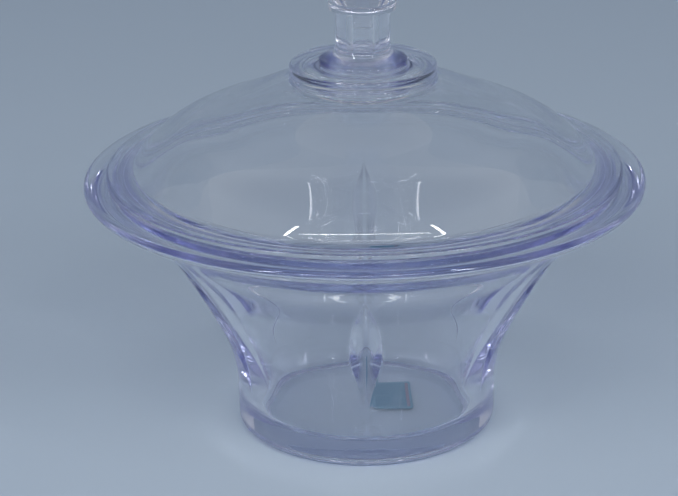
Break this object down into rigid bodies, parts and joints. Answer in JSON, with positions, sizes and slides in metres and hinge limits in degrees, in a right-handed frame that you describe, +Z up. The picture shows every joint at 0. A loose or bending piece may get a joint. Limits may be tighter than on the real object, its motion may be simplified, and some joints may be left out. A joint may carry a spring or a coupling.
{
  "type": "covered bowl",
  "caption": "Flared round bowl in thick clear plastic with mitre-cut leaves, a wide rim and a lift-off domed lid with a faceted knob; holds yarn or small goods.",
  "frame": {"origin": "on the ground in the middle of the bowl's foot", "axes": "+Z up, along the axis of the bowl, lid and knob; one leaf faces -Y, which is the front"},
  "size_m": [0.16, 0.16, 0.1457],
  "materials": {
    "clear_moulding": "clear polystyrene, injection moulded and polished, faint violet tint",
    "printed_label": "printed film label, blank, teal with a red block"
  },
  "bodies": {
    "bowl": {"bowl": "clear_moulding", "base_label": "printed_label"},
    "lid": {"lid": "clear_moulding", "knob_pedestal": "clear_moulding", "knob_finial": "clear_moulding"}
  },
  "joints": [
    {"name": "lid_lift", "type": "slide", "parent": "bowl", "child": "lid", "axis": [0, 0, 1], "range_m": [0, 0.06]}
  ]
}
